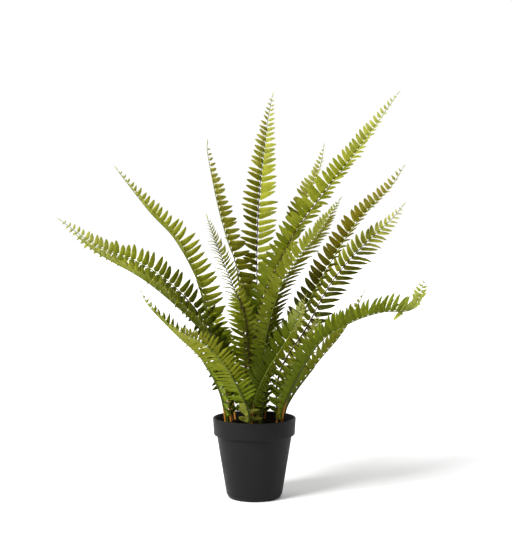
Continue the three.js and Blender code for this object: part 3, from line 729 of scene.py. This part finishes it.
def frondSites(frond, run, obstacles, rng):
    size = frondSet
    pairs = round(run["blade"] / frond["pitch"])
    gather = frond["gather"]
    sites = []
    for i in range(pairs):
        for hand, lag in ((1, 0), (-1, size["leftLag"])):
            even = (i + size["firstLeaflet"] + lag) / pairs
            share = (1 + gather) * even - gather * even * even
            pitch = run["blade"] / pairs * (1 + gather - 2 * gather * even)
            widest = min(frond["leafWidth"], pitch * size["fullness"])
            site = leafletSite(frond, run, share, hand, widest, rng)
            if share > frond["bareBelow"] and fitLeaflet(site, obstacles):
                sites.append(site)
    for share, hand, fold, sweep, length, width in frond["single"]:
        site = leafletSite(frond, run, share, hand, width, rng)
        # Painted light: single leaflets are made lighter and take the colouring of a share near the tip
        site.update({
            "fold": math.radians(fold), "sweep": math.radians(sweep), "length": length, "width": width,
            "fresh": site["fresh"] + size["singlePaintedLight"], "share": max(share, size["singlePaintedLightShare"])})
        if fitLeaflet(site, obstacles):
            sites.append(site)
    sites.append(tipSite(frond, run))
    return sites


def tipSite(frond, run):
    size = frondSet
    site = leafletSite(frond, run, 1.0, 1, size["tipWidth"], random.Random(size["seed"]))
    root = site["root"] - site["side"] * ribRadius(1) * size["rootDepth"] - site["along"] * size["tipDepth"]
    site.update({"root": root, "length": size["tipLength"], "reach": site["along"], "face": site["up"],
                 "isTip": True})
    return site


# Two crossed strips along a path, which stand for a stem when leaflets are tested
def stemStrips(places, radii):
    points = []
    faces = []
    for i, (place, radius) in enumerate(zip(places, radii)):
        for direction in ("side", "up"):
            points.append(place["point"] + place[direction] * radius)
            points.append(place["point"] - place[direction] * radius)
        if i:
            new = i * 4
            old = new - 4
            faces.append((old, old + 1, new + 1, new))
            faces.append((old + 2, old + 3, new + 3, new + 2))
    return BVHTree.FromPolygons(points, faces)


def stalkStrips(run):
    steps = [i * clearSet["stalkStep"] for i in range(int(run["stalk"] / clearSet["stalkStep"]) + 1)]
    return stemStrips([run["at"](step) for step in steps], [stalkRadius(run, step) for step in steps])


def ribStrips(run):
    shares = [i / clearSet["ribPoints"] for i in range(clearSet["ribPoints"] + 1)]
    places = [ribPoint(run, frondSet["bladeStart"] + run["blade"] * share, share) for share in shares]
    return stemStrips(places, [ribRadius(share) for share in shares])


# The pot's wall and the soil's top, as leaflets must not cross them either
def potObstacle():
    size = potSet
    lip = size["height"] + clearSet["rimMargin"]
    soil = clearSet["soilEdge"]
    profile = [(size["collarFoot"], size["height"] - size["collar"]), (size["rim"], lip),
               (size["rim"] - size["wall"], lip), (innerRadius(soil), soil), (0, clearSet["soilCrown"])]
    return BVHTree.FromPolygons(*turnedShape(profile, clearSet["sides"]))


# Leaflet forms: an outline with a blunt foot on a thin neck, full sides and a tip that bends
# towards the frond's end. Rows are shares of the length past the neck, half widths shares of the
# width. Short leaflets have a form of their own, more pointed and with a longer neck.

leafSet = {
    "length": 28, "width": 9.6, "thickness": 0.34,
    "rows": (0, 0.04, 0.11, 0.26, 0.44, 0.64, 0.81, 0.93, 1),
    "halfWidths": (0.08, 0.41, 0.49, 0.5, 0.46, 0.39, 0.28, 0.15, 0.015),
    "bend": 0.4, "ear": 0.08, "earEnd": 0.25, "earLeast": 0.3, "columns": (-1, -0.5, 0, 0.5, 1),
    "cupShift": 0.12, "waves": 6.5, "thinning": 0.6,
}
shortLeafSet = dict(leafSet, bend=0.42, ear=0.04,
                    halfWidths=(0.1, 0.3, 0.43, 0.5, 0.46, 0.36, 0.22, 0.1, 0.02))
tipLeafSet = dict(leafSet, bend=0, ear=0, halfWidths=(0.2, 0.26, 0.34, 0.46, 0.5, 0.42, 0.26, 0.12, 0.03))
shortBelow = 13

leafBends = [
    {"neck": 0.02, "arch": 0.05, "droop": 0.07, "cup": 0.22, "twist": 4, "ripple": 0.3},
    {"neck": 0.015, "arch": 0.07, "droop": 0.13, "cup": 0.3, "twist": -5, "ripple": 0.45},
    {"neck": 0.03, "arch": 0.03, "droop": 0.03, "cup": 0.16, "twist": 9, "ripple": 0.3},
]
shortBend = {"neck": 0.1, "arch": 0.04, "droop": 0.05, "cup": 0.22, "twist": 3, "ripple": 0.1}
tipBend = {"neck": 0.1, "arch": 0.02, "droop": 0.04, "cup": 0.3, "twist": 0, "ripple": 0}


# A point of the middle surface: u is the share of the length, half the half width there, v from -1 to 1
def leafPoint(size, hand, bend, u, half, v):
    hasEar = v > 0 and half > size["earLeast"] and u < size["earEnd"]
    ear = size["ear"] * size["width"] if hasEar else 0
    y = size["bend"] * size["width"] * u * u + v * half * size["width"] + ear * v
    z = size["length"] * (bend["arch"] * math.sin(math.pi * u) - bend["droop"] * u * u)
    z += bend["cup"] * half * size["width"] * (1 - v * v) * math.sin(math.pi * min(u + size["cupShift"], 1))
    z += bend["ripple"] * math.sin(size["waves"] * u * math.pi + 2 * v) * v * v * math.sin(math.pi * u)
    angle = math.radians(bend["twist"]) * u
    return Vector((u * size["length"], (y * math.cos(angle) - z * math.sin(angle)) * hand,
                   y * math.sin(angle) + z * math.cos(angle)))


# A closed leaflet: an upper and a lower surface that share their points along the rim
def leafForm(name, size, hand, bend):
    neck = bend["neck"]
    rows = [0] + [neck + (1 - neck) * row for row in size["rows"]]
    columns = size["columns"]
    points = []
    grid = {}
    rim = set()
    for i, (u, half) in enumerate(zip(rows, size["halfWidths"][:1] + size["halfWidths"])):
        for j, v in enumerate(columns):
            middle = leafPoint(size, hand, bend, u, half, v)
            grid[0, i, j] = len(points)
            if i in (0, len(rows) - 1) or j in (0, len(columns) - 1):
                rim.add(len(points))
                points.append(middle * mm)
            else:
                thick = Vector((0, 0, size["thickness"] * (1 - v * v * size["thinning"])))
                points += [(middle + thick) * mm, (middle - thick) * mm]
            grid[1, i, j] = len(points) - 1
    faces = []
    maps = []
    for side in (0, 1):
        for i in range(len(rows) - 1):
            for j in range(len(columns) - 1):
                corners = [(i, j), (i + 1, j), (i + 1, j + 1), (i, j + 1)]
                if (hand < 0) != (side == 1):
                    corners.reverse()
                faces.append([grid[side, row, column] for row, column in corners])
                for row, column in corners:
                    maps += [rows[row], columns[column] / 2 + 0.5]
    piece = meshObject(name, points, faces)
    piece.data.uv_layers.new(name="leafMap").data.foreach_set("uv", maps)
    half = len(faces) // 2
    storeValues(piece, "underside", [0.0] * half + [1.0] * half, domain="FACE")
    for edge in piece.data.edges:
        edge.use_edge_sharp = all(point in rim for point in edge.vertices)
    bpy.context.scene.collection.objects.unlink(piece)
    return piece


def makeLeafForms():
    forms = bpy.data.collections.new("leafForms")
    for hand, first in ((1, 0), (-1, 4)):
        for i, bend in enumerate(leafBends):
            forms.objects.link(leafForm(f"leafForm{first + i}", leafSet, hand, bend))
        forms.objects.link(leafForm(f"leafForm{first + 3}", shortLeafSet, hand, shortBend))
    forms.objects.link(leafForm("leafForm8", tipLeafSet, 1, tipBend))
    return forms


leafForms = makeLeafForms()


# Geometry Nodes: a stem swept along a path, leaflets placed on their sites and crumbs strewn on soil

def named(tree, name, kind="FLOAT"):
    return outputOf(tree, "GeometryNodeInputNamedAttribute", {"Name": name}, "Attribute", data_type=kind)


# A random value for each point: a share from 0 to 1, or a vector between two
def randomShare(tree, seed):
    return outputOf(tree, "FunctionNodeRandomValue", {"Seed": seed}, 1, data_type="FLOAT")


def randomVector(tree, seed, low, high):
    inputs = {0: low, 1: high, "Seed": seed}
    return outputOf(tree, "FunctionNodeRandomValue", inputs, data_type="FLOAT_VECTOR")


def evenVector(tree, value):
    return outputOf(tree, "ShaderNodeCombineXYZ", {axis: value for axis in "XYZ"})


def withTone(tree, points, seed):
    return outputOf(tree, "GeometryNodeStoreNamedAttribute",
                    {"Geometry": points, "Name": "tone", "Value": randomShare(tree, seed)},
                    data_type="FLOAT", domain="POINT")


# How each tree ends: its instances made real, the attributes it used dropped, its material set
def endTree(tree, given, end, geometry, dropped=()):
    geometry = outputOf(tree, "GeometryNodeRealizeInstances", {"Geometry": geometry})
    for name in dropped:
        geometry = outputOf(tree, "GeometryNodeRemoveAttribute", {"Geometry": geometry, "Name": name})
    inputs = {"Geometry": geometry, "Material": given["Paint"]}
    feed(tree, end[0], outputOf(tree, "GeometryNodeSetMaterial", inputs))
    return tree


def makeStemTree():
    inputs = {"Path": "Geometry", "Sides": 8, "Paint": "Material"}
    tree, given, end = newGroup("stemOnPath", "Geometry", inputs, "Stem", "Geometry")
    curve = outputOf(tree, "GeometryNodeMeshToCurve", {"Mesh": given["Path"]})
    ring = outputOf(tree, "GeometryNodeCurvePrimitiveCircle", {"Resolution": given["Sides"], "Radius": 1.0})
    tube = outputOf(tree, "GeometryNodeCurveToMesh", {
        "Curve": curve, "Profile Curve": ring, "Scale": named(tree, "radius"), "Fill Caps": True})
    return endTree(tree, given, end, tube, ["radius"])


def makeLeafletTree():
    inputs = {"Sites": "Geometry", "Leaf Forms": "Collection", "Jitter": 0.05, "Seed": 1, "Paint": "Material"}
    tree, given, end = newGroup("leafletsOnSites", "Geometry", inputs, "Leaflets", "Geometry")
    seed = given["Seed"]
    aim = outputOf(tree, "FunctionNodeAxesToRotation", {
        "Primary Axis": named(tree, "reach", "FLOAT_VECTOR"),
        "Secondary Axis": named(tree, "face", "FLOAT_VECTOR"),
    }, primary_axis="X", secondary_axis="Z")
    most = evenVector(tree, given["Jitter"])
    least = outputOf(tree, "ShaderNodeVectorMath", {0: most, 1: (-1, -1, -1)}, operation="MULTIPLY")
    wobble = outputOf(tree, "FunctionNodeEulerToRotation", {"Euler": randomVector(tree, seed, least, most)})
    turned = outputOf(tree, "FunctionNodeRotateRotation", {
        "Rotation": aim, "Rotate By": wobble}, rotation_space="LOCAL")
    forms = outputOf(tree, "GeometryNodeCollectionInfo", {
        "Collection": given["Leaf Forms"], "Separate Children": True, "Reset Children": True,
    }, transform_space="ORIGINAL")
    placed = outputOf(tree, "GeometryNodeInstanceOnPoints", {
        "Points": withTone(tree, given["Sites"], seed), "Instance": forms, "Pick Instance": True,
        "Instance Index": named(tree, "form", "INT"), "Rotation": turned,
        "Scale": named(tree, "size", "FLOAT_VECTOR")})
    return endTree(tree, given, end, placed, ["reach", "face", "size", "form"])


# Runs a tree on a piece with named inputs, and keeps what comes out as the piece's plain mesh
def runTree(piece, tree, values):
    modifier = piece.modifiers.new(tree.name, "NODES")
    modifier.node_group = tree
    for item in tree.interface.items_tree:
        if item.in_out == "INPUT" and item.name in values:
            modifier[item.identifier] = values[item.name]
    graph = bpy.context.evaluated_depsgraph_get()
    made = bpy.data.meshes.new_from_object(piece.evaluated_get(graph))
    made.name = piece.name
    piece.modifiers.clear()
    piece.data = made
    return piece


stemTree = makeStemTree()
leafletTree = makeLeafletTree()


def pathPiece(name, places, radii, paints, sides, paint):
    edges = [(i, i + 1) for i in range(len(places) - 1)]
    piece = meshObject(name, [place["point"] * mm for place in places], edges=edges)
    storeValues(piece, "radius", [radius * mm for radius in radii])
    for key, values in paints.items():
        storeValues(piece, key, values)
    return runTree(piece, stemTree, {"Sides": sides, "Paint": paint})


# Radii along a stem, drawn in to a rounded end
def endedRadii(distances, radii):
    least, length = frondSet["endShare"], frondSet["endLength"]
    return [radius * math.sqrt(max(least, min(1, (distances[-1] - distance) / (radius * length))))
            for distance, radius in zip(distances, radii)]


def stemSteps(start, end, step):
    count = max(round((end - start) / step), 2)
    distances = [blend(start, end, i / count) for i in range(count)]
    return distances + [end - short for short in frondSet["endSteps"]]


def makeStalk(frond, run):
    distances = stemSteps(0, run["stalk"], frondSet["stalkStep"])
    places = [run["at"](distance) for distance in distances]
    radii = endedRadii(distances, [stalkRadius(run, distance) for distance in distances])
    low, high = (frond["wood"] * share for share in frondSet["woodFade"])
    woods = [1 - smoothShare(distance, low, high) if high else 0.0 for distance in distances]
    paints = {"wood": woods, "brown": [float(frond["stem"])] * len(distances)}
    return pathPiece(frond["name"] + "_stem", places, radii, paints, frondSet["stalkSides"], stalkPaint)


def makeRib(frond, run):
    size = frondSet
    distances = stemSteps(size["bladeStart"], size["bladeStart"] + run["blade"], size["ribStep"])
    shares = [(distance - size["bladeStart"]) / run["blade"] for distance in distances]
    places = [ribPoint(run, distance, share) for distance, share in zip(distances, shares)]
    radii = endedRadii(distances, [ribRadius(share) for share in shares])
    dark = frond["dark"]
    low, high = (dark + share for share in size["darkFade"])
    paints = {"brown": [smoothShare(share, low, high) if dark else 0.0 for share in shares],
              "shade": [1 - smoothShare(share, *size["shadeFade"]) for share in shares]}
    return pathPiece(frond["name"] + "_rib", places, radii, paints, size["ribSides"], ribPaint)


# Which of the leaflet forms a site takes: its hand's, the short one or one of three long ones
def formNumber(site):
    if site.get("isTip"):
        return 8
    first = 0 if site["hand"] > 0 else 4
    return first + (3 if site["length"] < shortBelow else site["look"])


def makeLeaflets(frond, sites, number):
    piece = meshObject(frond["name"] + "_leaflets", [site["root"] * mm for site in sites])
    for key in ("reach", "face"):
        storeValues(piece, key, [site[key] for site in sites], "FLOAT_VECTOR")
    sizes = []
    for site in sites:
        long = site["length"] / leafSet["length"]
        sizes.append((long, site["width"] / leafSet["width"], blend(long, 1, frondSet["thickKept"])))
    storeValues(piece, "size", sizes, "FLOAT_VECTOR")
    storeValues(piece, "form", [formNumber(site) for site in sites], "INT")
    for paint in ("share", "fresh", "bronze", "deep", "brown", "vivid"):
        storeValues(piece, paint, [float(site[paint]) for site in sites])
    return runTree(piece, leafletTree, {
        "Leaf Forms": leafForms, "Jitter": math.radians(frondSet["jitter"]),
        "Seed": frondSet["seed"] + number, "Paint": leafPlastic})


def makeFronds():
    rng = random.Random(frondSet["seed"])
    runs = [frondRun(frond) for frond in fronds]
    ribs = [ribStrips(run) for run in runs]
    fixed = [stalkStrips(run) for run in runs] + [potObstacle()]
    leaves = []
    count = 0
    for number, (frond, run) in enumerate(zip(fronds, runs)):
        otherRibs = ribs[:number] + ribs[number + 1:]
        sites = frondSites(frond, run, fixed + otherRibs + leaves, rng)
        count += len(sites)
        leaves.append(plateTree([leafletPlate(site) for site in sites]))
        leaflets = makeLeaflets(frond, sites, number)
        rib = makeRib(frond, run)
        stalk = makeStalk(frond, run)
        for piece in (leaflets, rib, stalk):
            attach(piece, "root")
        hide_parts(frond["name"] + "_blade")
        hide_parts(frond["name"] + "_blade")
        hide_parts(frond["name"] + "_stalk")
    return count


print("fronds made:", makeFronds(), "leaflets")
for form in list(leafForms.objects):
    bpy.data.objects.remove(form)
bpy.data.collections.remove(leafForms)


# Soil: a closed filling with a crumbly top, and loose crumbs scattered on it

soilSet = {
    "top": 107, "crown": 4, "bottom": 3.3, "bend": 90, "gap": 0.6, "rings": 26, "sides": 72,
    "relief": 0.8, "roughAbove": 100, "smoothEdge": 0.5, "seed": 11,
    "crumbsPerArea": 130000.0, "crumbLow": 0.5, "crumbHigh": 1.7, "clearOfWall": 3, "crumbsFrom": 105,
}


def makeSoil():
    size = soilSet
    rng = random.Random(size["seed"])
    edge = innerRadius(size["top"]) - size["gap"]
    profile = [(0, size["bottom"])]
    profile += [(innerRadius(height) - size["gap"], height) for height in (size["bottom"], size["bend"])]
    for i in range(size["rings"] + 1):
        share = 1 - i / size["rings"]
        profile.append((edge * share, size["top"] + size["crown"] * (1 - share ** 2)))
    soil = turnedPiece("soilFilling", profile, size["sides"], soilCrumb)
    for vertex in soil.data.vertices:
        radius = math.hypot(vertex.co.x, vertex.co.y) / mm
        if vertex.co.z > size["roughAbove"] * mm and radius < edge - size["smoothEdge"]:
            vertex.co.z += rng.uniform(-1, 1) * size["relief"] * mm
    return soil


def makeCrumbTree():
    inputs = {"Soil": "Geometry", "Per Area": 100000.0, "Least": 0.0005, "Most": 0.0015, "From Height": 0.1,
              "Reach": 0.05, "Seed": 1, "Paint": "Material"}
    tree, given, end = newGroup("crumbsOnSoil", "Geometry", inputs, "Crumbs", "Geometry")
    seed = given["Seed"]
    place = outputOf(tree, "GeometryNodeInputPosition")
    level = outputOf(tree, "ShaderNodeVectorMath", {0: place, 1: (1, 1, 0)}, operation="MULTIPLY")
    radius = outputOf(tree, "ShaderNodeVectorMath", {0: level}, "Value", operation="LENGTH")
    height = outputOf(tree, "ShaderNodeSeparateXYZ", {"Vector": place}, "Z")
    onTop = calc(tree, "MULTIPLY", calc(tree, "GREATER_THAN", height, given["From Height"]),
                 calc(tree, "LESS_THAN", radius, given["Reach"]))
    strewn = outputOf(tree, "GeometryNodeDistributePointsOnFaces", {
        "Mesh": given["Soil"], "Selection": onTop, "Density": given["Per Area"], "Seed": seed,
    }, distribute_method="RANDOM")
    least, most = evenVector(tree, given["Least"]), evenVector(tree, given["Most"])
    crumb = outputOf(tree, "GeometryNodeMeshIcoSphere", {"Radius": 1.0, "Subdivisions": 1})
    placed = outputOf(tree, "GeometryNodeInstanceOnPoints", {
        "Points": withTone(tree, strewn, seed), "Instance": crumb,
        "Rotation": randomVector(tree, seed, (0, 0, 0), (math.tau, math.tau, math.tau)),
        "Scale": randomVector(tree, seed, least, most)})
    return endTree(tree, given, end, placed)


def makeCrumbs(soil):
    size = soilSet
    return runTree(linkedObject("soilCrumbs", soil.data.copy()), makeCrumbTree(), {
        "Per Area": size["crumbsPerArea"], "Least": size["crumbLow"] * mm, "Most": size["crumbHigh"] * mm,
        "From Height": size["crumbsFrom"] * mm,
        "Reach": (innerRadius(size["top"]) - size["clearOfWall"]) * mm,
        "Seed": size["seed"], "Paint": soilCrumb})


soil = makeSoil()
crumbs = makeCrumbs(soil)
for piece in (soil, crumbs):
    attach(piece, "root")
    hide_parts("soil")
print("soil made, with", len(crumbs.data.polygons), "faces of crumbs")


# Studio: a white sweep, soft light from the upper left, and the camera at the photograph's angle

studioSet = {
    "behind": 1.02, "front": 0.22, "turnOver": 0.4, "floor": 0.92, "floorGlow": 0.07, "floorReach": 30,
    "floorDrop": 0.0002, "floorRoughness": 0.9,
    "keyStrength": 4.5, "keyAngle": 24, "keyFrom": (-1.0, -0.85, 1.15),
    "lens": 36 * 1083 / 512, "sensor": 36, "cameraPlace": (0.0024, -1.6, 0.38), "tilt": 1.44,
}


# White behind the object and above it, dimmer on the side of the camera
def makeWorld():
    size = studioSet
    world = bpy.data.worlds.new("whiteStudio")
    world.use_nodes = True
    tree = world.node_tree
    place = outputOf(tree, "ShaderNodeTexCoord", output="Generated")
    depth = outputOf(tree, "ShaderNodeSeparateXYZ", {"Vector": place}, "Y")
    background = tree.nodes["Background"]
    background.inputs["Color"].default_value = (1, 1, 1, 1)
    feed(tree, background.inputs["Strength"],
         spread(tree, depth, -size["turnOver"], size["turnOver"], size["front"], size["behind"]))
    bpy.context.scene.world = world


def makeFloor():
    size = studioSet
    grey, reach, drop = size["floor"], size["floorReach"], size["floorDrop"]
    material = newMaterial("floorWhite", {
        "Roughness": size["floorRoughness"], "Base Color": (grey, grey, grey, 1),
        "Emission Color": (1, 1, 1, 1), "Emission Strength": size["floorGlow"]})[0]
    corners = [(-reach, -reach, -drop), (reach, -reach, -drop), (reach, reach, -drop), (-reach, reach, -drop)]
    floor = meshObject("studioFloor", corners, [(0, 1, 2, 3)], material)


def makeStudio():
    size = studioSet
    scene = bpy.context.scene
    makeWorld()
    makeFloor()
    lamp = bpy.data.lights.new("keyLight", "SUN")
    lamp.energy = size["keyStrength"]
    lamp.angle = math.radians(size["keyAngle"])
    key = linkedObject("keyLight", lamp)
    key.location = size["keyFrom"]
    key.rotation_euler = Vector(size["keyFrom"]).to_track_quat("Z", "Y").to_euler()
    lens = bpy.data.cameras.new("studioCamera")
    lens.sensor_fit = "HORIZONTAL"
    lens.sensor_width = size["sensor"]
    lens.lens = size["lens"]
    camera = linkedObject("studioCamera", lens)
    camera.location = size["cameraPlace"]
    camera.rotation_euler = (math.radians(90 - size["tilt"]), 0, 0)
    scene.camera = camera
    scene.view_settings.view_transform = "Standard"


makeStudio()
print("studio made")
